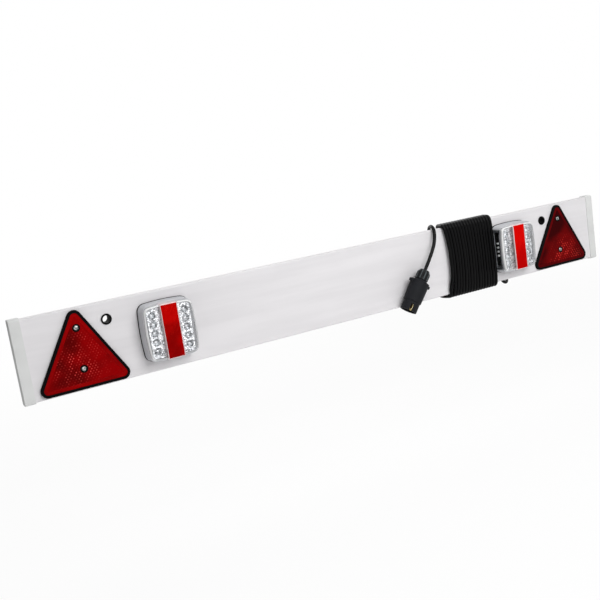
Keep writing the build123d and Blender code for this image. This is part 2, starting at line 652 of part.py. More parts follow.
def make_winding():
    """The outer shape of the turns: a band round the board, swollen front and back, bowed at its left."""
    gap = WINDING_GAP
    depth = BOARD_DEPTH + 2 * gap
    height = BOARD_HEIGHT + 2 * gap
    hole = RectangleRounded(depth, height, BOARD_CORNER + gap)
    far_y = depth / 2 + LEAD_DIAMETER
    far_z = height / 2 + LEAD_DIAMETER
    far_top = far_z + WINDING_TOP_SLACK
    round_in = BOARD_CORNER + gap + LEAD_DIAMETER
    front = ThreePointArc((-far_y, -far_z), (-far_y - WINDING_FRONT_SWELL, 0), (-far_y, far_top))
    top = Line((-far_y, far_top), (far_y, far_top))
    back = ThreePointArc((far_y, far_top), (far_y + WINDING_BACK_SWELL, 0), (far_y, -far_z))
    bottom = Line((far_y, -far_z), (-far_y, -far_z))
    outline = make_face([front, top, back, bottom])
    outline = fillet(outline.vertices(), round_in)
    band = extrude(Plane.YZ * (outline - hole), WINDING_RIGHT_X - WINDING_LEFT_X)
    band = Pos(WINDING_LEFT_X, FRONT_Y / 2, MIDDLE_Z) * band
    bow_radius = (far_z ** 2 + WINDING_SIDE_BOW ** 2) / (2 * WINDING_SIDE_BOW)
    bow_centre = WINDING_LEFT_X + WINDING_SIDE_BOW - bow_radius
    return band - along_y(bow_radius, FRONT_Y - 2 * far_y, FRONT_Y, bow_centre, MIDDLE_Z)


def make_lead(name, points):
    """A free stretch of the lead, with the radii that its bends have."""
    radii = widest_radii(points)
    print(name, "radii", [round(radius, 1) for radius in radii])
    return tube(name, points, radii, LEAD_DIAMETER)


# Plug

def plug_place():
    """The plane at the gland nut's end, whose Z runs along the plug to its nose."""
    return Plane(origin=PLUG_ORIGIN, x_dir=Vector(0, -1, 0).cross(PLUG_AXIS), z_dir=PLUG_AXIS)


def make_plug():
    """The pieces of the plug, by name."""
    shoulder = PLUG_LENGTH - PLUG_NOSE_LENGTH
    mouth = PLUG_LENGTH - PLUG_MOUTH_DEPTH
    bore = PLUG_NOSE / 2 - PLUG_WALL
    neck = PLUG_NECK / 2
    lead = LEAD_DIAMETER / 2
    neck_top = PLUG_BACK - PLUG_NECK_LENGTH
    room = neck - PLUG_WALL
    ledge = bore - CARRIER_LEDGE
    throat = PLUG_THROAT / 2
    collar = PLUG_BACK + PLUG_THROAT_LENGTH
    shelf = collar + PLUG_CONE_LENGTH
    body = turned((room, neck_top), (neck, neck_top), (neck, PLUG_BACK), (throat, PLUG_BACK),
                  (throat, collar), (PLUG_WAIST / 2, shelf), (PLUG_SHOULDER / 2, shoulder),
                  (PLUG_NOSE / 2, shoulder + PLUG_WALL), (PLUG_NOSE / 2, PLUG_LENGTH), (bore, PLUG_LENGTH),
                  (bore, mouth), (ledge, mouth), (ledge, shelf + PLUG_WALL), (room, shelf + PLUG_WALL))
    wing = RectangleRounded(WING_SPAN, WING_WIDTH, WING_ROUND) - Circle(PLUG_WAIST / 2 - PLUG_WALL / 2)
    body += slab(wing, WING_RISE - WING_THICKNESS / 2, WING_RISE + WING_THICKNESS / 2)
    slot = Box(KEY_SLOT_WIDTH, PLUG_NOSE, 2 * KEY_SLOT_LENGTH)
    body -= Rot(0, 0, KEY_SLOT_TURN) * Pos(0, PLUG_NOSE / 2, PLUG_LENGTH) * slot
    nut_radius = NUT_DIAMETER / 2
    cap = turned((lead + NUT_FIT, 0), (NUT_TOP / 2, 0), (nut_radius, NUT_SLOPE), (nut_radius, PLUG_BACK),
                 (neck + NUT_FIT, PLUG_BACK), (neck + NUT_FIT, NUT_ROOF), (lead + NUT_FIT, NUT_ROOF))
    for i in range(NUT_GROOVES):
        groove = Pos(nut_radius, 0, 0) * rod(NUT_GROOVE / 2, NUT_SLOPE / 2, PLUG_BACK - NUT_ROOF)
        cap -= Rot(0, 0, i * 360 / NUT_GROOVES) * groove
    seal = turned((lead + NUT_FIT, NUT_ROOF), (neck, NUT_ROOF), (neck, neck_top), (lead + NUT_FIT, neck_top))
    pins = [(0, 0, 0)]
    for i in range(PIN_RING_COUNT):
        angle = math.radians((i + 0.5) * 360 / PIN_RING_COUNT)
        pins.append((PIN_CIRCLE / 2 * math.cos(angle), PIN_CIRCLE / 2 * math.sin(angle), 0))
    carrier = rod(bore - CARRIER_FIT, mouth, mouth + CARRIER_THICKNESS)
    carrier -= [Pos(*place) * rod(PIN_DIAMETER / 2 + PIN_FIT, mouth - OVERCUT, PLUG_LENGTH) for place in pins]
    pin = rod(PIN_DIAMETER / 2, mouth - PIN_TAIL, PLUG_LENGTH - PIN_SUNK)
    pin = fillet(pin.faces().sort_by(Axis.Z)[-1].edges(), PIN_DIAMETER / 3)
    pieces = {
        "plug_body": body,
        "plug_gland_nut": cap,
        "plug_seal": seal,
        "plug_lead_end": rod(lead, 0, mouth - PIN_TAIL),
        "plug_carrier": carrier,
        "plug_pins": spread(pin, pins),
    }
    return {name: plug_place() * piece for name, piece in pieces.items()}


def start_points():
    """The first stretch's route, from the gland behind the right lamp."""
    return [(LAMP_X + x, y, z) for x, y, z in LEAD_START_POINTS]


def tail_points():
    """The tail's route: the chosen points, then a straight run into the plug along its axis."""
    run_in = PLUG_ORIGIN - PLUG_AXIS * LEAD_TAIL_RUN_IN
    chosen = [(WINDING_LEFT_X + x, y, z) for x, y, z in LEAD_TAIL_POINTS]
    return chosen + [tuple(run_in), tuple(PLUG_ORIGIN)]


def main():
    """Make every piece and write it under its own name."""
    nodes = {"board": make_board()}
    for name, side in (("left", -1), ("right", 1)):
        nodes[f"{name}_end_cap"] = make_end_cap(side)
        nodes[f"{name}_tie_grommet"] = make_tie_grommet(side)
        for piece, shape in make_lamp(side).items():
            nodes[f"{name}_{piece}"] = shape
    for name, x in (("left", REFLECTOR_LEFT_X), ("right", REFLECTOR_RIGHT_X)):
        for piece, shape in make_reflector(x).items():
            nodes[f"{name}_{piece}"] = shape
    nodes["link_cable"] = make_link_cable()
    nodes["lead_gland"] = make_gland()
    nodes["lead_feed"] = make_lead_feed()
    nodes["lead_start"] = make_lead("lead_start", start_points())
    nodes["lead_winding"] = make_winding()
    nodes["lead_tail"] = make_lead("lead_tail", tail_points())
    nodes.update(make_plug())
    os.makedirs("parts", exist_ok=True)
    for name, shape in nodes.items():
        export_step(shape, f"parts/{name}.step")


main()
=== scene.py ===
"""Looks of a trailer lighting board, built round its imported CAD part."""

import logging
import math
from dataclasses import dataclass
from enum import Enum

import bmesh
import bpy
from mathutils import Matrix, Vector


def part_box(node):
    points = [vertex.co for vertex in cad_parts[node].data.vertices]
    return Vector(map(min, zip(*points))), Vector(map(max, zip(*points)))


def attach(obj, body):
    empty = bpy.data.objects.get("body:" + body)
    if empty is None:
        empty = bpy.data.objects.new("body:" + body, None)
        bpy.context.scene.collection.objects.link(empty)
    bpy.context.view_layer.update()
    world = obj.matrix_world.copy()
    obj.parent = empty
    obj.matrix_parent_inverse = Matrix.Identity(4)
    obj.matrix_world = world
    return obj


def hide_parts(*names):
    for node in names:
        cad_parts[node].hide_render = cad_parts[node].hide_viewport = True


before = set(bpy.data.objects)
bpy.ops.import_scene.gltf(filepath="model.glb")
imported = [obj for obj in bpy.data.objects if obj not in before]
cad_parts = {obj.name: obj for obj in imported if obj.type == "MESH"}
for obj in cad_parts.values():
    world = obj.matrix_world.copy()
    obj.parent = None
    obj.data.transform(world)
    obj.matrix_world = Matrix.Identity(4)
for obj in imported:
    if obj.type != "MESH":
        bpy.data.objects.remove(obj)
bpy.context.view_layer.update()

LOG = logging.getLogger("lighting_board")
MM = 0.001
ROOT = "root"
BOARD_FRONT_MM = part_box("board")[0].y / MM

Point = tuple[float, float, float]
Flat = tuple[float, float]
Colour = tuple[float, float, float, float]
Tree = bpy.types.NodeTree
Node = bpy.types.Node
Socket = bpy.types.NodeSocket
Value = Socket | Vector | tuple[float, ...] | float | None


class Side(Enum):
    """The board's two ends, with the sign of X there."""

    LEFT = -1
    RIGHT = 1

    def node(self, piece: str) -> str:
        """Name the CAD node of a piece on this side."""
        return f"{self.name.lower()}_{piece}"


class Texture(Enum):
    """How much finer unevenness lies in a coarse one."""

    PLAIN = 1.0
    SOFT = 2.0
    CLOUDY = 3.0


def box_middle(node: str) -> Point:
    """Find the middle of a CAD node's box, in millimetres."""
    low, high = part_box(node)
    return tuple((low + high) / 2 / MM)


# Finishes

# A range is crossed smoothly, with no corner at either end.
SMOOTH = {"interpolation_type": "SMOOTHSTEP"}
# What comes out of a range that falls as what goes in rises.
FALLING = (1.0, 0.0)
# Nearly all values of an unevenness lie between these.
UNEVEN_SPAN = (0.3, 0.7)
# The middle of a cell or a box whose sides run from 0 to 1.
HALF = (0.5, 0.5, 0.5)


def linear(colour: str) -> Colour:
    """Turn an sRGB hex colour into linear light, with the constants of that standard.

    Args:
        colour: "#rrggbb".

    Returns:
        Red, green, blue and full alpha.
    """
    steps = [int(colour[i:i + 2], 16) / 255 for i in (1, 3, 5)]
    lights = [s / 12.92 if s <= 0.04045 else ((s + 0.055) / 1.055) ** 2.4 for s in steps]
    return (*lights, 1.0)


def add_node(tree: Tree, kind: str, *inputs: Value, out: str = "", **settings: str) -> Socket:
    """Add a shader node.

    Args:
        tree: The material's node tree.
        kind: The node's type.
        inputs: What goes into the sockets that it shows, in their order: another node's output, a plain
            value, or None to leave a socket as it is.
        out: The output to give back, where that isn't the first one it shows.
        settings: The node's own properties, made first, because they decide which sockets it shows.

    Returns:
        The node's output.
    """
    node = tree.nodes.new(kind)
    for name, value in settings.items():
        setattr(node, name, value)
    shown = [socket for socket in node.inputs if socket.enabled]
    for socket, value in zip(shown, inputs):
        if isinstance(value, Socket):
            tree.links.new(value, socket)
        elif value is not None:
            socket.default_value = value
    return node.outputs[out] if out else next(socket for socket in node.outputs if socket.enabled)


def unevenness(tree: Tree, size_mm: Point, texture: Texture = Texture.SOFT) -> Socket:
    """Draw a soft unevenness of a real size.

    Args:
        tree: The material's node tree.
        size_mm: The size of its grains along X, Y and Z.
        texture: How much finer unevenness lies in it.

    Returns:
        Its height, from 0 to 1.
    """
    place = add_node(tree, "ShaderNodeTexCoord", out="Object")
    scale = tuple(1 / (size * MM) for size in size_mm)
    squeezed = add_node(tree, "ShaderNodeMapping", place, None, None, scale)
    return add_node(tree, "ShaderNodeTexNoise", squeezed, 1.0, texture.value)


@dataclass(frozen=True)
class Finish:
    """A real material and how its surface was made."""

    name: str
    colour: str
    roughness: float
    ior: float = 1.5
    metallic: float = 0.0
    transmission: float = 0.0
    sheen: float = 0.5

    def material(self) -> bpy.types.Material:
        """Make this finish's material on first use.

        Returns:
            The material.
        """
        if self.name in bpy.data.materials:
            return bpy.data.materials[self.name]
        material = bpy.data.materials.new(self.name)
        material.use_nodes = True
        shader = material.node_tree.nodes["Principled BSDF"]
        levels = {"Base Color": linear(self.colour), "Roughness": self.roughness, "IOR": self.ior,
                  "Metallic": self.metallic, "Transmission Weight": self.transmission,
                  "Specular IOR Level": self.sheen}
        for name, level in levels.items():
            shader.inputs[name].default_value = level
        self.work(material.node_tree, shader)
        return material

    def work(self, tree: Tree, shader: Node) -> None:
        """Draw what the making left on the surface."""
        raise NotImplementedError

    def coat(self, tree: Tree, shader: Node, *layers: tuple[Socket, str], ground: str = "",
             relief: Socket | None = None, depth_mm: float = 0.0) -> None:
        """Lay colours over what the surface has so far, and raise it by a pattern.

        Args:
            tree: The material's node tree.
            shader: The material's shader.
            layers: From the lowest, how far each covers what lies below it, and its colour.
            ground: The colour below them all, where it isn't the finish's own.
            relief: The pattern that raises the surface.
            depth_mm: How far the pattern's highest places stand over its lowest.
        """
        base = shader.inputs["Base Color"]
        below = base.links[0].from_socket if base.is_linked else linear(ground or self.colour)
        for cover, colour in layers:
            below = add_node(tree, "ShaderNodeMix", cover, below, linear(colour), data_type="RGBA")
        if layers:
            tree.links.new(below, base)
        if relief is not None:
            # The sockets are strength, distance, filter width and height.
            bump = add_node(tree, "ShaderNodeBump", None, depth_mm * MM, None, relief)
            tree.links.new(bump, shader.inputs["Normal"])

    def dress(self, *nodes: str) -> None:
        """Give this finish to CAD nodes.

        Args:
            nodes: The nodes' names.
        """
        for node in nodes:
            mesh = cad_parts[node].data
            mesh.materials.clear()
            mesh.materials.append(self.material())


@dataclass(frozen=True)
class Moulded(Finish):
    """Moulded, cast or drawn: a fine grain breaks highlights up, and flow leaves soft patches of tone."""

    patch_colour: str = "#000000"
    patch_mm: float = 45.0
    grain_mm: float = 0.7
    grain_depth_mm: float = 0.012

    def work(self, tree: Tree, shader: Node) -> None:
        """Draw the grain and the patches.

        Args:
            tree: The material's node tree.
            shader: The material's shader.
        """
        grain = unevenness(tree, (self.grain_mm,) * 3)
        flow = unevenness(tree, (self.patch_mm,) * 3, Texture.CLOUDY)
        patches = add_node(tree, "ShaderNodeMapRange", flow, *UNEVEN_SPAN, *FALLING, **SMOOTH)
        self.coat(tree, shader, (patches, self.patch_colour), relief=grain, depth_mm=self.grain_depth_mm)


@dataclass(frozen=True)
class ShadedFlank(Moulded):
    """Moulded, with painted shade: a dark, slightly cloudy patch on the flank round its window.

    The spans are of how squarely a face looks along the flank's direction, of the piece's height, and of
    the clouds.
    """

    painted_dark_colour: str = "#000000"
    flank: Point = (1.0, 0.0, 0.0)
    flank_span: Flat = (0.8, 0.92)
    dark_span: Flat = (0.06, 0.92)
    dark_soft: float = 0.03
    cloud_mm: float = 9.0
    cloud_span: Flat = (0.35, 0.6)
    cloud_least: float = 0.75

    def work(self, tree: Tree, shader: Node) -> None:
        """Draw the painted shade on the flank over the moulding's patches.

        Args:
            tree: The material's node tree.
            shader: The material's shader.
        """
        super().work(tree, shader)
        normal = add_node(tree, "ShaderNodeNewGeometry", out="True Normal")
        toward = add_node(tree, "ShaderNodeVectorMath", normal, self.flank, operation="DOT_PRODUCT")
        whole = add_node(tree, "ShaderNodeTexCoord", out="Generated")
        rise = add_node(tree, "ShaderNodeSeparateXYZ", whole, out="Z")
        clouds = unevenness(tree, (self.cloud_mm,) * 3, Texture.CLOUDY)
        low, high = self.dark_span
        fades = ((toward, *self.flank_span),
                 (rise, low - self.dark_soft, low + self.dark_soft),
                 (rise, high - self.dark_soft, high + self.dark_soft, *FALLING),
                 (clouds, *self.cloud_span, self.cloud_least, 1.0))
        dark = 1.0
        for fade in fades:
            share = add_node(tree, "ShaderNodeMapRange", *fade, **SMOOTH)
            dark = add_node(tree, "ShaderNodeMath", dark, share, operation="MULTIPLY")
        # Painted shade: dark grey laid on the flank that faces the board's middle, round the window.
        self.coat(tree, shader, (dark, self.painted_dark_colour))


@dataclass(frozen=True)
class Ribbed(Moulded):
    """Moulded with grip ribs round an axis, and a painted highlight: a thin light line on the crest of each
    rib.
    """

    crest_highlight_colour: str = "#ffffff"
    crest_span: Flat = (0.3, 0.95)
    middle_mm: Point = (160.6, -39.1, -46.1)
    axis: Point = (-0.592, 0.0, -0.806)
    ribs: int = 10
    rib_depth_mm: float = 0.6

    def work(self, tree: Tree, shader: Node) -> None:
        """Draw the ribs, with their painted highlight, over the moulding's patches.

        Args:
            tree: The material's node tree.
            shader: The material's shader.
        """
        super().work(tree, shader)
        place = add_node(tree, "ShaderNodeTexCoord", out="Object")
        middle = tuple(value * MM for value in self.middle_mm)
        arm = add_node(tree, "ShaderNodeVectorMath", place, middle, operation="SUBTRACT")
        level = Vector((0.0, 1.0, 0.0))
        across, up = (add_node(tree, "ShaderNodeVectorMath", arm, way, operation="DOT_PRODUCT")
                      for way in (Vector(self.axis).cross(level), level))
        angle = add_node(tree, "ShaderNodeMath", up, across, operation="ARCTAN2")
        turns = add_node(tree, "ShaderNodeMath", angle, float(self.ribs), operation="MULTIPLY")
        wave = add_node(tree, "ShaderNodeMath", turns, operation="COSINE")
        crest = add_node(tree, "ShaderNodeMapRange", wave, *self.crest_span, **SMOOTH)
        # Painted highlight: the light crest colour lies along each rib's crest; the bump is the ribs' real
        # relief.
        self.coat(tree, shader, (crest, self.crest_highlight_colour), relief=crest, depth_mm=self.rib_depth_mm)


@dataclass(frozen=True)
class Extruded(Finish):
    """Extruded through a die: faint long lines and a slow drift of tone along the length."""

    drift_colour: str = "#000000"
    drift_mm: Point = (260.0, 40.0, 22.0)
    line_mm: Point = (900.0, 5.0, 5.0)
    line_depth_mm: float = 0.01

    def work(self, tree: Tree, shader: Node) -> None:
        """Draw the die lines and the drift.

        Args:
            tree: The material's node tree.
            shader: The material's shader.
        """
        lines = unevenness(tree, self.line_mm)
        slow = unevenness(tree, self.drift_mm, Texture.CLOUDY)
        drift = add_node(tree, "ShaderNodeMapRange", slow, *UNEVEN_SPAN, *FALLING, **SMOOTH)
        self.coat(tree, shader, (drift, self.drift_colour), relief=lines, depth_mm=self.line_depth_mm)


@dataclass(frozen=True)
class Plated(Finish):
    """Plated or turned metal: a bright skin with a little unevenness in its gloss."""

    dull_colour: str = "#000000"
    dull_roughness: float = 0.4
    dull_span: Flat = (0.42, 0.6)
    gloss_span: Flat = (0.2, 0.8)
    wave_mm: float = 3.0
    wave_depth_mm: float = 0.01

    def work(self, tree: Tree, shader: Node) -> None:
        """Draw the uneven gloss and the dull places.

        Args:
            tree: The material's node tree.
            shader: The material's shader.
        """
        waves = unevenness(tree, (self.wave_mm,) * 3)
        gloss = (self.roughness, self.dull_roughness)
        rough = add_node(tree, "ShaderNodeMapRange", waves, *self.gloss_span, *gloss, **SMOOTH)
        tree.links.new(rough, shader.inputs["Roughness"])
        dull = add_node(tree, "ShaderNodeMapRange", waves, *self.dull_span, *FALLING, **SMOOTH)
        self.coat(tree, shader, (dull, self.dull_colour), relief=waves, depth_mm=self.wave_depth_mm)


@dataclass(frozen=True)
class Faceted(Finish):
    """Chromed in vacuum over small facets: neighbours mirror different things, so bright lies beside dark.

    The studio is white all round, so the reflections are painted: dark flecks drawn as cells in the colour.
    Cells on faces that turn to the right get the most painted dark.
    """

    painted_dark_colour: str = "#000000"
    facet_mm: float = 3.2
    facet_depth_mm: float = 0.9
    fleck_span: Flat = (0.2, 0.62)
    turned_span: Flat = (0.05, 0.5)
    turned_least: float = 0.66

    def work(self, tree: Tree, shader: Node) -> None:
        """Draw the facets' relief and their painted reflections.

        Args:
            tree: The material's node tree.
            shader: The material's shader.
        """
        place = add_node(tree, "ShaderNodeTexCoord", out="Object")
        cells = add_node(tree, "ShaderNodeTexVoronoi", place, 1 / (self.facet_mm * MM))
        tone = add_node(tree, "ShaderNodeSeparateColor", cells.node.outputs["Color"])
        fleck = add_node(tree, "ShaderNodeMapRange", tone, *self.fleck_span, *FALLING, **SMOOTH)
        normal = add_node(tree, "ShaderNodeNewGeometry", out="True Normal")
        facing = add_node(tree, "ShaderNodeSeparateXYZ", normal, out="X")
        shares = (self.turned_least, 1.0)
        turned = add_node(tree, "ShaderNodeMapRange", facing, *self.turned_span, *shares, **SMOOTH)
        dark = add_node(tree, "ShaderNodeMath", turned, fleck, operation="MULTIPLY")
        # Painted reflections: dark flecks laid over the chrome's colour; the bump is the facets' relief.
        self.coat(tree, shader, (dark, self.painted_dark_colour), relief=cells, depth_mm=self.facet_depth_mm)


@dataclass(frozen=True)
class Prismatic(Finish):
    """Moulded reflex lens: smooth in front, with staggered rows of prisms behind, drawn as painted glints:
    bright dots.

    The painted glints lie in patches round a spot, given by X and Z, as far as the reach. The tone changes
    slowly away from the spot: darker with a fall above nought, and lighter with one below.
    """

    shade_colour: str = "#000000"
    painted_glint_colour: str = "#ffffff"
    pitch_mm: float = 5.5
    row_mm: float = 4.8
    cell_depth_mm: float = 1000.0
    dot_mm: float = 2.2
    dot_least: float = 0.1
    shade_mm: float = 60.0
    shade_span: Flat = (0.32, 0.68)
    spot_mm: Flat = (0.0, 0.0)
    reach_mm: float = 70.0
    full_share: float = 0.2
    fall_share: float = 1.3
    fall: float = 0.14
    patchy: Flat = (0.28, 0.58)
    patch_share: float = 0.3

    def dots(self, tree: Tree, place: Socket) -> Socket:
        """Draw two grids of dots, staggered by half a cell, in which each dot has its own brightness.

        Args:
            tree: The material's node tree.
            place: The point in the shared frame.

        Returns:
            The dots' brightness.
        """
        cell = (self.pitch_mm, self.cell_depth_mm, 2 * self.row_mm)
        scale = tuple(1 / (size * MM) for size in cell)
        face = (cell[0], 0.0, cell[2])
        levels = (self.dot_least, 1.0)
        grids = []
        for shift in (0.0, 0.5):
            step = add_node(tree, "ShaderNodeMapping", place, (shift, 0.0, shift), None, scale)
            part = add_node(tree, "ShaderNodeVectorMath", step, operation="FRACTION")
            offset = add_node(tree, "ShaderNodeVectorMath", part, HALF, operation="SUBTRACT")
            flat = add_node(tree, "ShaderNodeVectorMath", offset, face, operation="MULTIPLY")
            span = add_node(tree, "ShaderNodeVectorMath", flat, operation="LENGTH")
            dot = add_node(tree, "ShaderNodeMapRange", span, 0.0, self.dot_mm, *FALLING, **SMOOTH)
            number = add_node(tree, "ShaderNodeVectorMath", step, operation="FLOOR")
            chance = add_node(tree, "ShaderNodeTexWhiteNoise", number)
            bright = add_node(tree, "ShaderNodeMapRange", chance, *levels, *levels, **SMOOTH)
            grids.append(add_node(tree, "ShaderNodeMath", dot, bright, operation="MULTIPLY"))
        return add_node(tree, "ShaderNodeMath", *grids, operation="MAXIMUM")

    def work(self, tree: Tree, shader: Node) -> None:
        """Draw the dots as painted glints, where they are shown, and the slow change of tone over the lens.

        Args:
            tree: The material's node tree.
            shader: The material's shader.
        """
        place = add_node(tree, "ShaderNodeTexCoord", out="Object")
        flat = add_node(tree, "ShaderNodeVectorMath", place, (1.0, 0.0, 1.0), operation="MULTIPLY")
        spot = (self.spot_mm[0] * MM, 0.0, self.spot_mm[1] * MM)
        away = add_node(tree, "ShaderNodeVectorMath", flat, spot, operation="DISTANCE")
        reach = self.reach_mm * MM
        near = add_node(tree, "ShaderNodeMapRange", away, self.full_share * reach, reach, *FALLING, **SMOOTH)
        patches = unevenness(tree, (self.patch_share * self.shade_mm,) * 3, Texture.CLOUDY)
        uneven = add_node(tree, "ShaderNodeMapRange", patches, *self.patchy, **SMOOTH)
        lit = add_node(tree, "ShaderNodeMath", near, uneven, operation="MULTIPLY")
        shown = add_node(tree, "ShaderNodeMath", self.dots(tree, place), lit, operation="MULTIPLY")
        fade = (0.0, self.fall_share * reach, self.fall, -self.fall)
        drift = add_node(tree, "ShaderNodeMapRange", away, *fade, **SMOOTH)
        clouds = unevenness(tree, (self.shade_mm,) * 3)
        tone = add_node(tree, "ShaderNodeMath", clouds, drift, operation="ADD")
        shade = add_node(tree, "ShaderNodeMapRange", tone, *self.shade_span, *FALLING, **SMOOTH)
        # Painted glints: the prisms' bright dots laid over the red, fullest round the spot.
        self.coat(tree, shader, (shade, self.shade_colour), (shown, self.painted_glint_colour))


@dataclass(frozen=True)
class Clear(Finish):
    """Moulded clear plastic: light bends in it, and slow flow waves bend it a little more."""

    wave_mm: float = 14.0
    wave_depth_mm: float = 0.05

    def work(self, tree: Tree, shader: Node) -> None:
        """Draw the flow waves, and let lamp light through to what lies behind.

        Args:
            tree: The material's node tree.
            shader: The material's shader.
        """
        waves = unevenness(tree, (self.wave_mm,) * 3, Texture.PLAIN)
        self.coat(tree, shader, relief=waves, depth_mm=self.wave_depth_mm)
        shadow = add_node(tree, "ShaderNodeLightPath", out="Is Shadow Ray")
        through = add_node(tree, "ShaderNodeBsdfTransparent")
        mix = add_node(tree, "ShaderNodeMixShader", shadow, shader.outputs["BSDF"], through)
        tree.links.new(mix, tree.nodes["Material Output"].inputs["Surface"])


@dataclass(frozen=True)
class LampGlass(Clear):
    """Clear lamp cover: a painted highlight whitens its rounded rim, and painted pink light tints the rib's
    edges.

    A milk of one hides what lies behind, and one of nought leaves it clear.
    """

    rim_highlight_colour: str = "#fafbfb"
    edge_shade_colour: str = "#585c62"
    foot_shade_colour: str = "#4c4f55"
    rib_pink_light_colour: str = "#fbd6d6"
    width_mm: float = 95.6
    height_mm: float = 101.2
    corner_mm: float = 10.0
    bow_mm: float = 3.0
    rim_mm: float = 2.3
    line_mm: float = 1.5
    soft_mm: float = 0.4
    rib_mm: float = 31.8
    rib_soft_mm: float = 1.0
    base_y_mm: float = -45.0
    foot_mm: float = 2.8
    foot_soft_mm: float = 0.6
    rim_milk: float = 0.75
    line_milk: float = 0.6
    rib_milk: float = 0.65
    shaded_way: Point = (1.0, 0.0, -1.0)
    shaded_span: Flat = (0.45, 0.65)

    def rim_reach(self, tree: Tree, span: Socket) -> Socket:
        """Measure how far out towards the bowed rim a point lies.

        Args:
            tree: The material's node tree.
            span: Millimetres from the cover's middle, along X and Z.

        Returns:
            Millimetres past the core that the corners are turned round: at the rim, the corners' radius.
        """
        half = (self.width_mm / 2, 1.0, self.height_mm / 2)
        share = add_node(tree, "ShaderNodeVectorMath", span, half, operation="DIVIDE")
        square = add_node(tree, "ShaderNodeVectorMath", share, share, operation="MULTIPLY")
        across, up = (add_node(tree, "ShaderNodeSeparateXYZ", square, out=axis) for axis in ("X", "Z"))
        crossed = add_node(tree, "ShaderNodeCombineXYZ", up, None, across)
        bow = add_node(tree, "ShaderNodeVectorMath", crossed, self.bow_mm, operation="SCALE")
        straight = add_node(tree, "ShaderNodeVectorMath", span, bow, operation="ADD")
        core = (half[0] - self.corner_mm, 0.0, half[2] - self.corner_mm)
        beyond = add_node(tree, "ShaderNodeVectorMath", straight, core, operation="SUBTRACT")
        kept = add_node(tree, "ShaderNodeVectorMath", beyond, (0.0, 0.0, 0.0), operation="MAXIMUM")
        return add_node(tree, "ShaderNodeVectorMath", kept, operation="LENGTH")

    def work(self, tree: Tree, shader: Node) -> None:
        """Paint a white highlight on the rim, painted shade as dark lines inside it, at its foot and on faces
        leaning right and down, and pink light on the rib's edges.

        Args:
            tree: The material's node tree.
            shader: The material's shader.
        """
        super().work(tree, shader)
        whole = add_node(tree, "ShaderNodeTexCoord", out="Generated")
        middle = add_node(tree, "ShaderNodeVectorMath", whole, HALF, operation="SUBTRACT")
        outward = add_node(tree, "ShaderNodeVectorMath", middle, operation="ABSOLUTE")
        face = (self.width_mm, 0.0, self.height_mm)
        span = add_node(tree, "ShaderNodeVectorMath", outward, face, operation="MULTIPLY")
        across = add_node(tree, "ShaderNodeSeparateXYZ", span, out="X")
        reach = self.rim_reach(tree, span)
        normal = add_node(tree, "ShaderNodeNewGeometry", out="True Normal")
        lean = add_node(tree, "ShaderNodeVectorMath", normal, self.shaded_way, operation="DOT_PRODUCT")
        place = add_node(tree, "ShaderNodeTexCoord", out="Object")
        depth = add_node(tree, "ShaderNodeSeparateXYZ", place, out="Y")
        rim = self.corner_mm - self.rim_mm
        line = rim - self.line_mm
        rib = self.rib_mm / 2
        foot = self.base_y_mm - self.foot_mm
        fades = {
            "rim": (reach, rim - self.soft_mm, rim + self.soft_mm, 0.0, self.rim_milk),
            "line": (reach, line - self.soft_mm, line + self.soft_mm, 0.0, self.line_milk),
            "rib": (across, rib, rib + self.rib_soft_mm, self.rib_milk, 0.0),
            "foot": (depth, foot * MM, (foot + self.foot_soft_mm) * MM),
            "shaded": (lean, *self.shaded_span),
            "inside": (reach, rim - self.soft_mm, rim + self.soft_mm / 2, *FALLING),
        }
        covers = {name: add_node(tree, "ShaderNodeMapRange", *fade, **SMOOTH) for name, fade in fades.items()}
        milk = covers["rim"]
        for name in ("rib", "line"):
            milk = add_node(tree, "ShaderNodeMath", milk, covers[name], operation="MAXIMUM")
        clear = add_node(tree, "ShaderNodeMath", 1.0, milk, operation="SUBTRACT")
        red = add_node(tree, "ShaderNodeMapRange", covers["rib"], 0.0, self.rib_milk, **SMOOTH)
        # Painted light: the white rim is a painted highlight; the dark lines inside it, at its foot and on
        # faces leaning right and down are painted shade; the pink at the rib's edges is painted light from
        # the red strip.
        self.coat(tree, shader, (covers["foot"], self.foot_shade_colour), (covers["shaded"], self.edge_shade_colour),
                  (covers["inside"], self.edge_shade_colour), (red, self.rib_pink_light_colour), (clear, self.colour),
                  ground=self.rim_highlight_colour)
        through = add_node(tree, "ShaderNodeMapRange", clear, **SMOOTH)
        tree.links.new(through, shader.inputs["Transmission Weight"])


# Extruded PVC: the die's long lines and a slow drift of tone keep the white from looking like paper.
WHITE_PVC = Extruded("extruded_white_pvc", "#eceaec", 0.5, drift_colour="#e6e4e6", sheen=0.0)
# Moulded caps: a shade greener and greyer than the plank, with no lines.
CAP_PLASTIC = Moulded("moulded_pale_plastic", "#e4e5e4", 0.5, patch_colour="#dcdddc", sheen=0.0)
# Moulded rubber: dead black, with a coarse grain that swallows highlights.
BLACK_RUBBER = Moulded("moulded_black_rubber", "#0a0a0b", 0.7, patch_colour="#060607", grain_mm=1.0,
                       sheen=0.05)
# Moulded tray plastic: black with a thin even gloss along its rim.
BLACK_PLASTIC = Moulded("moulded_black_plastic", "#070708", 0.5, patch_colour="#040404", sheen=0.04)
# Matt moulded plug plastic: a soft blue-grey bloom over the black.
PLUG_PLASTIC = Moulded("moulded_matt_black_plastic", "#17181c", 0.6, patch_colour="#101114", sheen=0.15)
# The nut's moulded grip ribs, with a painted highlight: bright lines along a dark ring. Real ones are too
# fine to show, so they are drawn fewer and wider.
NUT_PLASTIC = Ribbed("moulded_ribbed_black_plastic", "#131417", 0.3, patch_colour="#0e0f11",
                     crest_highlight_colour="#505658", sheen=0.15)
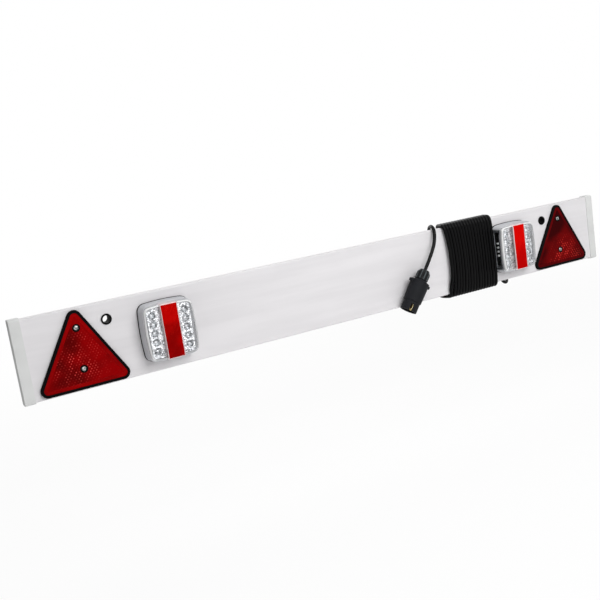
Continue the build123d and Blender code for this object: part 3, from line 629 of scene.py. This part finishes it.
# Moulded housings: a silver-grey satin, with painted shade, dark grey, on the flank with the window.
LAMP_PLASTIC = {side: ShadedFlank(f"moulded_silver_grey_plastic_{side.name.lower()}", "#cecfd3", 0.42,
                               patch_colour="#c4c5c9", painted_dark_colour="#34383a",
                               flank=(-float(side.value), 0.0, 0.0), sheen=0.2) for side in Side}
# Smooth moulded acrylic over black: an even band of deep red round each triangle's field.
RED_BORDER = Moulded("moulded_red_acrylic", "#9c0305", 0.2, ior=1.49, patch_colour="#820204", patch_mm=50.0,
                     grain_mm=3.0, sheen=0.02)
# The right triangle's copy of this acrylic, with painted shade: darker all over.
SHADED_RED_BORDER = Moulded("moulded_deep_red_acrylic", "#640306", 0.2, ior=1.49, patch_colour="#4e0205",
                          patch_mm=50.0, grain_mm=3.0, sheen=0.02)
# Reflex acrylic: dark red, with painted glints: rows of bright dots where lit prisms would send light to the
# eye. Real prisms are about 2.5 mm apart, too fine to show, so they are drawn coarser: most on the right
# triangle, which is the farther one.
RED_LENS = Prismatic("moulded_red_reflex_acrylic", "#940003", 0.2, ior=1.49, shade_colour="#5c0001",
                     painted_glint_colour="#f24844", row_mm=4.2, dot_mm=1.9, spot_mm=(-582.0, -62.0), fall=-0.14,
                     sheen=0.02)
# The right triangle's copy of this reflex acrylic, with painted shade: darker all over, and with more painted
# glints.
SHADED_RED_LENS = Prismatic("moulded_deep_red_reflex_acrylic", "#6c0305", 0.2, ior=1.49, shade_colour="#380103",
                          painted_glint_colour="#ff4038", pitch_mm=7.0, row_mm=5.0, dot_mm=2.9,
                          spot_mm=(588.0, -104.0), reach_mm=72.0, patchy=(0.05, 0.42), sheen=0.02)
# Reflex strips: the brightest red on the part, a little darker lower down, with painted glints. The right
# strip's copy is painted lighter than the left's.
RED_STRIP = {side: Prismatic(f"moulded_red_reflex_strip_{side.name.lower()}", colour, 0.2, ior=1.49,
                             shade_colour=shade, painted_glint_colour="#e41810", pitch_mm=3.0, row_mm=2.6, dot_mm=1.4,
                             shade_mm=50.0, spot_mm=(box_middle(side.node("lamp_strip"))[0], 0.0), sheen=0.02)
             # Painted light: the right strip gets a lighter copy of the same red than the left.
             for side, colour, shade in ((Side.LEFT, "#bc0000", "#8a0000"),
                                         (Side.RIGHT, "#d80200", "#b80000"))}
# Zinc plate: bright in one place and dull grey in the next, so a small screw head reads as metal.
ZINC = Plated("bright_zinc_plate", "#d8d8d6", 0.22, metallic=1.0, dull_colour="#6c6c6a", wave_mm=2.4)
# Turned brass: pale gold with darker streaks, the only warm metal on the part.
BRASS = Plated("turned_brass", "#fbeec4", 0.22, metallic=1.0, dull_colour="#e4c87c")
# Vacuum chrome: a glitter of painted reflections, white and dark flecks, behind the clear cover.
CHROME = Faceted("vacuum_chromed_plastic", "#f4f6f8", 0.38, metallic=1.0, painted_dark_colour="#2a2c30", facet_mm=2.6)
# Polished moulded acrylic: clear over the cups, with a painted white highlight along its rim and painted
# shade lines.
CLEAR_ACRYLIC = LampGlass("moulded_clear_acrylic", "#fbfbfc", 0.02, ior=1.49, transmission=1.0)
# A small moulded window: faintly grey, so the lights behind it stay in sight.
WINDOW_ACRYLIC = Clear("moulded_clear_window", "#f4f6f8", 0.04, ior=1.49, transmission=1.0)
# Cast resin over the plate lights: small white points in the dark flank.
WHITE_RESIN = Moulded("cast_white_led_resin", "#fdfdfb", 0.3, patch_colour="#f6f6f2", patch_mm=3.0)
# Cast resin of the lamp's LEDs: milky domes that glint in the cups.
LED_RESIN = Clear("cast_clear_led_resin", "#f8fafc", 0.05, ior=1.53, transmission=0.1, wave_mm=2.0)
# Lacquered circuit board: a dark ground that sets the lights off.
SOLDER_MASK = Moulded("lacquered_black_circuit", "#0e1110", 0.35, patch_colour="#090b0a", sheen=0.2)
# Extruded sheath: smooth black PVC, so each strand of the winding carries one thin line of light.
LEAD_SHEATH = Moulded("extruded_black_pvc_sheath", "#040405", 0.16, patch_colour="#020203", grain_mm=1.4,
                      sheen=0.1)


# Shapes


def rounded_triangle(inradius: float, corner: float, steps: int = 8) -> list[Flat]:
    """Trace an upright triangle with equal sides and round corners.

    Args:
        inradius: From the middle to each side.
        corner: The corners' radius.
        steps: Pieces in each corner.

    Returns:
        The outline round the origin.
    """
    points = []
    reach = 2 * (inradius - corner)
    for turn in (90, 210, 330):
        middle = Vector((math.cos(math.radians(turn)), math.sin(math.radians(turn)))) * reach
        for step in range(steps + 1):
            angle = math.radians(turn - 60 + 120 * step / steps)
            points.append((middle.x + corner * math.cos(angle), middle.y + corner * math.sin(angle)))
    return points


def rounded_oblong(width: float, height: float, corner: float, steps: int = 6) -> list[Flat]:
    """Trace an oblong with round corners.

    Args:
        width: Its whole width.
        height: Its whole height.
        corner: The corners' radius.
        steps: Pieces in each corner.

    Returns:
        The outline round the origin.
    """
    points = []
    for quarter, (across, up) in enumerate(((1, 1), (-1, 1), (-1, -1), (1, -1))):
        for step in range(steps + 1):
            angle = math.radians(90 * (quarter + step / steps))
            points.append((across * (width / 2 - corner) + corner * math.cos(angle),
                           up * (height / 2 - corner) + corner * math.sin(angle)))
    return points


def circle(middle: Flat, radius: float, steps: int = 24) -> list[Flat]:
    """Trace a circle in straight steps."""
    angles = [2 * math.pi * step / steps for step in range(steps)]
    return [(middle[0] + radius * math.cos(a), middle[1] + radius * math.sin(a)) for a in angles]


def place_on_front(x: float, z: float) -> Matrix:
    """Turn a drawing in millimetres, whose third axis comes off the board, into the shared frame."""
    turn = Matrix(((1, 0, 0, 0), (0, 0, -1, 0), (0, 1, 0, 0), (0, 0, 0, 1)))
    return Matrix.Scale(MM, 4) @ Matrix.Translation((x, BOARD_FRONT_MM, z)) @ turn


def plate(outlines: list[list[Flat]], back: float, front: float, round_off: float = 0.0) -> bpy.types.Mesh:
    """Fill an outline, less the holes in it, and give it thickness.

    Args:
        outlines: The outer outline, then its holes.
        back: Height of its back.
        front: Height of its front.
        round_off: Radius along its edges.

    Returns:
        The mesh, in millimetres.
    """
    curve = bpy.data.curves.new("plate", "CURVE")
    curve.dimensions = "2D"
    curve.fill_mode = "BOTH"
    curve.extrude = (front - back) / 2 - round_off
    curve.bevel_depth = round_off
    curve.offset = -round_off
    for outline in outlines:
        spline = curve.splines.new("POLY")
        spline.points.add(len(outline) - 1)
        for place, point in zip(spline.points, outline):
            place.co = (*point, 0.0, 1.0)
        spline.use_cyclic_u = True
    drawing = bpy.data.objects.new("plate", curve)
    bpy.context.collection.objects.link(drawing)
    view = bpy.context.evaluated_depsgraph_get()
    mesh = bpy.data.meshes.new_from_object(drawing.evaluated_get(view))
    bpy.data.objects.remove(drawing)
    bpy.data.curves.remove(curve)
    mesh.transform(Matrix.Translation((0, 0, (front + back) / 2)))
    return mesh


def add_piece(name: str, mesh: bpy.types.Mesh, finish: Finish, slot: str, *replaced: str) -> None:
    """Stand a made piece in for CAD nodes.

    Args:
        name: The piece's name.
        mesh: Its shape in the shared frame.
        finish: Its finish.
        slot: The part's material slot that it belongs to. It is not used.
        replaced: The CAD nodes that it takes the place of.
    """
    mesh.materials.clear()
    mesh.materials.append(finish.material())
    piece = bpy.data.objects.new(name, mesh)
    bpy.context.collection.objects.link(piece)
    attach(piece, ROOT)
    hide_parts(*replaced)


# The board's pieces


@dataclass
class Board:
    """The plank, its end caps and its eyelets."""

    def dress(self) -> None:
        """Finish the CAD pieces."""
        WHITE_PVC.dress("board")
        for side in Side:
            CAP_PLASTIC.dress(side.node("end_cap"))
            BLACK_RUBBER.dress(side.node("tie_grommet"))
        LOG.info("board finished")


@dataclass
class Triangle:
    """A warning triangle. Sizes in millimetres, heights from the board's front face."""

    side: Side
    border_finish: Moulded
    field_finish: Prismatic
    inradius: float = 51.567
    corner: float = 13.0
    corner_least: float = 2.0
    lens_inset: float = 5.15
    border: float = 6.5
    border_round: float = 0.3
    back: float = 2.0
    front: float = 5.1
    field_sunk: float = 0.4
    screw_rises: Flat = (-15.367, 58.533)
    boss_hole: float = 7.15

    def outline(self, inset: float) -> list[Flat]:
        """Trace the triangle, moved in all round."""
        return rounded_triangle(self.inradius - inset, max(self.corner - inset, self.corner_least))

    def place(self) -> Matrix:
        """Find the lens's place: over the middle of its tray, whose lower side is an inradius below it."""
        tray = self.side.node("reflector_tray")
        return place_on_front(box_middle(tray)[0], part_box(tray)[0].z / MM + self.inradius)

    def build(self) -> None:
        """Make the lens: a plain border, and inside it a field of prisms with holes for the screws."""
        edge = self.outline(self.lens_inset)
        inner = self.outline(self.lens_inset + self.border)
        holes = [circle((0.0, rise), self.boss_hole) for rise in self.screw_rises]
        border = plate([edge, inner], self.back, self.front, self.border_round)
        field = plate([inner, *holes], self.back, self.front - self.field_sunk)
        lens = self.side.node("reflector_lens")
        for name, mesh, finish in (("lens_border", border, self.border_finish),
                                   ("lens_field", field, self.field_finish)):
            mesh.transform(self.place())
            add_piece(self.side.node(name), mesh, finish, "reflector_red", lens)
        LOG.info("%s triangle built", self.side.name)

    def dress(self) -> None:
        """Finish the CAD pieces."""
        BLACK_PLASTIC.dress(self.side.node("reflector_tray"))
        ZINC.dress(*[self.side.node(f"reflector_{piece}") for piece in ("screws", "washers", "nuts")])


@dataclass
class Lamp:
    """A lamp. Sizes in millimetres, heights from the board's front face.

    The bowls' rings are each a radius and a height, from the mouth down.
    """

    side: Side
    plate_size: Flat = (82.2, 92.2)
    plate_corner: float = 5.2
    plate_back: float = 27.4
    plate_front: float = 28.5
    column: float = 31.0
    row_pitch: float = 16.4
    rows: int = 5
    bowl_rings: tuple[Flat, ...] = ((7.2, 28.0), (6.7, 25.4), (5.4, 22.6), (3.3, 20.4))
    bowl_lap: float = 0.1
    facets: int = 14

    def build(self) -> None:
        """Make the plate of faceted bowls."""
        rises = [(row - (self.rows - 1) / 2) * self.row_pitch for row in range(self.rows)]
        places = [(across * self.column, rise) for across in (-1, 1) for rise in rises]
        mouth = self.bowl_rings[0][0] - self.bowl_lap
        holes = [circle(place, mouth, 2 * self.facets) for place in places]
        outer = rounded_oblong(*self.plate_size, self.plate_corner)
        mesh = plate([outer, *holes], self.plate_back, self.plate_front)
        shape = bmesh.new()
        shape.from_mesh(mesh)
        for place in places:
            self.add_bowl(shape, place)
        shape.to_mesh(mesh)
        shape.free()
        cups = self.side.node("lamp_cups")
        x, _, z = box_middle(cups)
        mesh.transform(place_on_front(x, z))
        add_piece(self.side.node("bowls"), mesh, CHROME, "chromed_plastic", cups)
        LOG.info("%s lamp built", self.side.name)

    def add_bowl(self, shape: bmesh.types.BMesh, place: Flat) -> None:
        """Add one bowl, whose rings are turned by half a facet in turn.

        Args:
            shape: The plate that it joins.
            place: Its middle on the plate.
        """
        rings = []
        for index, (radius, height) in enumerate(self.bowl_rings):
            points = circle(place, radius, self.facets)
            if index % 2:
                pairs = zip(points, points[1:] + points[:1])
                points = [((a[0] + b[0]) / 2, (a[1] + b[1]) / 2) for a, b in pairs]
            rings.append([shape.verts.new((*point, height)) for point in points])
        for index, (upper, lower) in enumerate(zip(rings, rings[1:])):
            for step in range(self.facets):
                after = (step + 1) % self.facets
                if index % 2:
                    shape.faces.new((upper[step], upper[after], lower[after]))
                    shape.faces.new((upper[step], lower[after], lower[step]))
                else:
                    shape.faces.new((upper[step], upper[after], lower[step]))
                    shape.faces.new((upper[after], lower[after], lower[step]))

    def dress(self) -> None:
        """Finish the CAD pieces."""
        BLACK_RUBBER.dress(self.side.node("lamp_gasket"))
        LAMP_PLASTIC[self.side].dress(self.side.node("lamp_base"))
        SOLDER_MASK.dress(self.side.node("lamp_circuit"), self.side.node("lamp_plate_circuit"))
        LED_RESIN.dress(self.side.node("lamp_leds"))
        WHITE_RESIN.dress(self.side.node("lamp_plate_leds"))
        CLEAR_ACRYLIC.dress(self.side.node("lamp_lens"))
        RED_STRIP[self.side].dress(self.side.node("lamp_strip"))
        WINDOW_ACRYLIC.dress(self.side.node("lamp_window"))
        ZINC.dress(*[self.side.node(f"lamp_{piece}") for piece in ("studs", "washers", "nuts")])


@dataclass
class Lead:
    """The wound lead: one cord from the gland, round the board and on to the plug.

    Sizes in millimetres, apart from the length in metres. The winding goes round a middle line along X. Its
    front runs stand forward of the plank, swell in the middle and bow to the right more with each turn, and
    its turns close up a little along the top.
    """

    diameter: float = 7.5
    turns: int = 17
    pitch: float = 8.0
    first_x: float = 361.4
    middle_y: float = -9.0
    middle_z: float = -42.0
    half_depth: float = 12.85
    half_height: float = 77.85
    corner_run: float = 16.0
    run_step: float = 20.0
    bow: float = 0.45
    forward: float = 3.4
    swell: float = 3.0
    swell_change: float = 0.2
    swell_step: float = 2.4
    front_shift: float = 0.9
    back_slack: float = 0.3
    top_lift: float = 0.5
    top_close: float = 0.3
    length: float = 6.53
    steps: int = 6

    start: tuple[Point, ...] = (
        (416.0, 24.5, -47.0), (416.0, 35.5, -47.0), (416.5, 46.8, -54.5), (418.5, 51.5, -67.5),
        (422.0, 48.5, -82.0), (426.5, 39.5, -96.0), (429.8, 27.5, -109.5), (428.5, 15.0, -121.5),
        (420.0, 7.6, -128.4), (409.0, 4.9, -124.5), (401.0, 4.6, -112.5), (392.0, 4.6, -101.0),
        (376.0, 4.6, -90.0), (366.5, 5.0, -72.0), (362.4, 5.2, -48.0), (361.4, 4.8, -18.0))
    tail: tuple[Point, ...] = (
        (234.8, -24.0, -100.0), (235.0, -23.4, -119.4), (233.0, -13.0, -120.2), (229.5, -2.5, -120.6),
        (225.5, 4.8, -118.6), (221.0, 7.6, -110.8), (217.0, 6.6, -98.0), (215.8, 5.2, -76.0),
        (216.6, 4.8, -40.0), (217.2, 5.2, -7.0), (217.2, 6.6, 14.5), (216.5, 6.6, 27.5),
        (214.6, 0.6, 37.0), (211.6, -10.2, 40.2), (208.8, -20.8, 36.8), (206.4, -26.8, 27.5),
        (202.6, -29.8, 14.5), (195.2, -33.8, 0.0), (174.8, -39.1, -26.75), (160.6, -39.1, -46.1))

    def turn(self, index: int) -> list[Point]:
        """Lay one turn: up the back, over the top, down the front and under the bottom.

        The first turn begins halfway up the back, where the start brings the lead, and the last one ends on
        the front, where the tail goes on.

        Args:
            index: The turn's number, counted from the right lamp.

        Returns:
            Its control points. The step of one pitch is taken on the back run.
        """
        x = self.first_x - index * self.pitch
        back = self.middle_y + self.half_depth
        front = self.middle_y - self.half_depth
        top = self.middle_z + self.half_height + self.top_lift
        bottom = self.middle_z - self.half_height
        near_corner = self.half_height - self.corner_run
        rises = (-near_corner, *(step * self.run_step for step in range(-2, 3)), near_corner)
        close = self.top_close * index
        slack = self.swell * (1 - self.swell_change + self.swell_change * math.sin(self.swell_step * index))
        points = []
        if index > 0:
            points.append((x + self.pitch, back, bottom))
        for rise in rises:
            if index == 0 and rise <= 0:
                continue
            share = (rise + self.half_height) / (2 * self.half_height)
            points.append((x + self.pitch * (1 - share) + close * share, back + self.back_slack,
                           self.middle_z + rise))
        points += [(x + close, back, top), (x + close / 2, self.middle_y, top + self.top_lift),
                   (x + self.front_shift / 2, front - self.forward / 2, top)]
        for rise in reversed(rises):
            round_off = 1 - (rise / self.half_height) ** 2
            points.append((x + self.front_shift + self.bow * index * round_off,
                           front - self.forward - slack * round_off, self.middle_z + rise))
        if index == self.turns - 1:
            return points[:-1]
        return [*points, (x + self.front_shift / 2, front - self.forward / 2, bottom),
                (x, self.middle_y, bottom)]

    def build(self) -> None:
        """Lay the whole cord as one spline."""
        points = list(self.start)
        for index in range(self.turns):
            points += self.turn(index)
        points += self.tail
        curve = bpy.data.curves.new("lead", "CURVE")
        curve.dimensions = "3D"
        curve.bevel_depth = self.diameter / 2 * MM
        curve.bevel_resolution = self.steps
        curve.use_fill_caps = True
        spline = curve.splines.new("NURBS")
        spline.points.add(len(points) - 1)
        for place, point in zip(spline.points, points):
            place.co = (*(value * MM for value in point), 1.0)
        spline.order_u = 3
        spline.use_endpoint_u = True
        spline.resolution_u = self.steps
        cord = bpy.data.objects.new("lead", curve)
        bpy.context.collection.objects.link(cord)
        curve.materials.append(LEAD_SHEATH.material())
        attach(cord, ROOT)
        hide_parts("lead_start", "lead_winding", "lead_tail")
        tuple(value * MM for value in self.start[0])
        LOG.info("lead laid")


@dataclass
class Plug:
    """The seven-pin plug, the gland, and the cables inside the board."""

    def dress(self) -> None:
        """Finish the CAD pieces."""
        PLUG_PLASTIC.dress("plug_body", "plug_carrier")
        NUT_PLASTIC.dress("plug_gland_nut")
        BLACK_RUBBER.dress("lead_gland", "plug_seal")
        LEAD_SHEATH.dress("link_cable", "lead_feed", "plug_lead_end")
        BRASS.dress("plug_pins")
        LOG.info("plug finished")


# Studio


@dataclass(frozen=True)
class SoftLamp:
    """A square soft lamp that faces a point. Sizes in metres, power in watts."""

    name: str
    place: Point
    target: Point
    size: float
    power: float

    def hang(self) -> None:
        """Put the lamp in its place."""
        light = bpy.data.lights.new(self.name, "AREA")
        light.size = self.size
        light.energy = self.power
        lamp = bpy.data.objects.new(self.name, light)
        lamp.location = self.place
        lamp.rotation_euler = (Vector(self.target) - lamp.location).to_track_quat("-Z", "Y").to_euler()
        bpy.context.collection.objects.link(lamp)


@dataclass
class Studio:
    """White room, soft lamps and the camera. Sizes in metres, apart from the lens and its sensor."""

    floor_z: float = -0.35
    floor_radius: float = 2.6
    floor_steps: int = 96
    floor_colour: str = "#f4f4f4"
    floor_roughness: float = 0.9
    floor_glow: float = 0.9
    floor_fade: Flat = (0.3, 0.97)
    ambient: float = 0.22
    lamps: tuple[SoftLamp, ...] = (
        SoftLamp("key", (0.2, -1.6, 0.95), (0.1, 0.0, -0.04), size=1.2, power=20.0),
        SoftLamp("top", (0.0, -0.6, 2.0), (0.0, 0.0, 0.0), size=2.0, power=16.0),
        SoftLamp("back", (-0.2, 1.9, 1.1), (-0.05, 0.0, -0.04), size=1.4, power=24.0))
    lens_mm: float = 50.4174
    sensor_mm: float = 36.0
    camera_at: Point = (-0.88264, -1.48523, 0.23955)
    right: Point = (0.8690652, -0.4724425, -0.1467098)
    down: Point = (-0.2101708, -0.0841399, -0.9740373)

    def build(self) -> None:
        """Make the room, hang the lamps and place the camera."""
        self.build_camera()
        self.build_room()
        self.build_floor()
        for lamp in self.lamps:
            lamp.hang()
        LOG.info("studio ready")

    def seen(self, tree: Tree) -> Socket:
        """Tell which rays come straight from the eye, off a gloss or through glass.

        Args:
            tree: The node tree of the room or the floor.

        Returns:
            One for such a ray, and nought for others.
        """
        seen = add_node(tree, "ShaderNodeLightPath", out="Is Camera Ray")
        rays = seen.node.outputs
        for ray in ("Is Glossy Ray", "Is Transmission Ray"):
            seen = add_node(tree, "ShaderNodeMath", seen, rays[ray], operation="MAXIMUM")
        return seen

    def build_room(self) -> None:
        """Make the white surround."""
        world = bpy.data.worlds.new("white_room")
        bpy.context.scene.world = world
        world.use_nodes = True
        tree = world.node_tree
        levels = (self.ambient, 1.0)
        level = add_node(tree, "ShaderNodeMapRange", self.seen(tree), 0.0, 1.0, *levels, **SMOOTH)
        tree.links.new(level, tree.nodes["Background"].inputs["Strength"])
        tree.nodes["Background"].inputs["Color"].default_value = (1.0, 1.0, 1.0, 1.0)

    def build_floor(self) -> None:
        """Lay a round paper floor that keeps the object's shadow and fades into the surround at its rim."""
        mesh = bpy.data.meshes.new("floor")
        rim = [(x, y, self.floor_z) for x, y in circle((0.0, 0.0), self.floor_radius, self.floor_steps)]
        mesh.from_pydata(rim, [], [tuple(range(len(rim)))])
        floor = bpy.data.objects.new("floor", mesh)
        bpy.context.collection.objects.link(floor)
        material = bpy.data.materials.new("white_paper_floor")
        material.use_nodes = True
        tree = material.node_tree
        paper = tree.nodes["Principled BSDF"]
        paper.inputs["Base Color"].default_value = linear(self.floor_colour)
        paper.inputs["Roughness"].default_value = self.floor_roughness
        paper.inputs["Specular IOR Level"].default_value = 0.0
        glow = add_node(tree, "ShaderNodeEmission", None, 1.0)
        place = add_node(tree, "ShaderNodeTexCoord", out="Object")
        flat = add_node(tree, "ShaderNodeVectorMath", place, (1.0, 1.0, 0.0), operation="MULTIPLY")
        out = add_node(tree, "ShaderNodeVectorMath", flat, operation="LENGTH")
        span = (share * self.floor_radius for share in self.floor_fade)
        fade = add_node(tree, "ShaderNodeMapRange", out, *span, self.floor_glow, 1.0, **SMOOTH)
        share = add_node(tree, "ShaderNodeMath", self.seen(tree), fade, operation="MULTIPLY")
        mix = add_node(tree, "ShaderNodeMixShader", share, paper.outputs["BSDF"], glow)
        tree.links.new(mix, tree.nodes["Material Output"].inputs["Surface"])
        mesh.materials.append(material)

    def build_camera(self) -> None:
        """Place the camera where the photograph was taken from."""
        data = bpy.data.cameras.new("camera")
        data.lens = self.lens_mm
        data.sensor_width = self.sensor_mm
        camera = bpy.data.objects.new("camera", data)
        right, down = Vector(self.right), Vector(self.down)
        axes = Matrix((right, -down, -right.cross(down))).transposed()
        camera.matrix_world = Matrix.Translation(self.camera_at) @ axes.to_4x4()
        bpy.context.collection.objects.link(camera)
        bpy.context.scene.camera = camera
        bpy.context.scene.view_settings.view_transform = "Standard"


def main() -> None:
    """Build the looks in order."""
    logging.basicConfig(level=logging.INFO)
    Studio().build()
    Lead().build()
    Board().dress()
    triangles = (Triangle(Side.LEFT, RED_BORDER, RED_LENS),
                 Triangle(Side.RIGHT, SHADED_RED_BORDER, SHADED_RED_LENS))
    for assembly in (*triangles, *(Lamp(side) for side in Side)):
        assembly.build()
        assembly.dress()
    Plug().dress()


if __name__ == "__main__":
    main()
